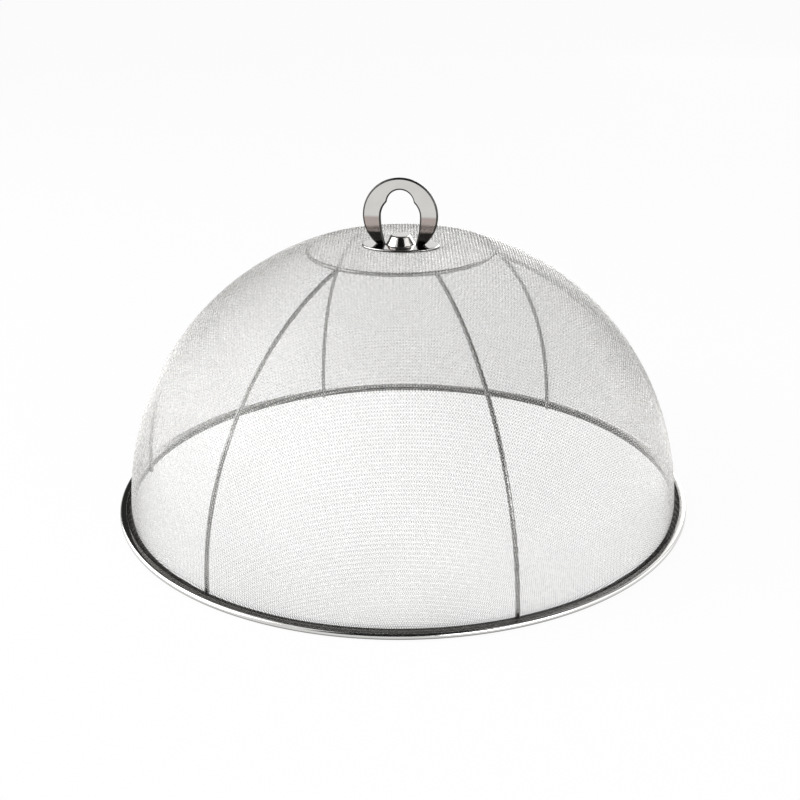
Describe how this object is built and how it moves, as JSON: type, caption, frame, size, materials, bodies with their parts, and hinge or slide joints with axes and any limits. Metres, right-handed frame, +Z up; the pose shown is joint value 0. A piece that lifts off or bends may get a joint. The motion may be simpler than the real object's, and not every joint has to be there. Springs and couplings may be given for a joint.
{
  "type": "mesh food cover",
  "caption": "Round dome-shaped food cover of fine woven steel wire cloth on a wire frame, with a rolled rim to stand on and a ring handle on a flat crown.",
  "frame": {"origin": "on the table, under the middle of the dome", "axes": "+Z up from the table along the axis of the dome; X along the handle plate and two opposite ribs; -Y faces the viewer"},
  "size_m": [0.35, 0.35, 0.1974],
  "materials": {
    "wire_cloth": "bright woven wire",
    "polished_steel": "mirror polished",
    "frame_wire": "drawn wire, satin",
    "fastener_steel": "bright"
  },
  "bodies": {
    "root": {"mesh_dome": "wire_cloth", "rim_roll": "polished_steel", "base_ring": "frame_wire", "crown_ring": "frame_wire", "handle_base": "polished_steel", "handle_ring": "polished_steel", "boss_nut": "fastener_steel", "clamp_washer": "fastener_steel", "spring_washer": "fastener_steel", "handle_screw": "fastener_steel", "rib_1": "frame_wire", "rib_2": "frame_wire", "rib_3": "frame_wire", "rib_4": "frame_wire", "rib_5": "frame_wire", "rib_6": "frame_wire"}
  },
  "joints": []
}
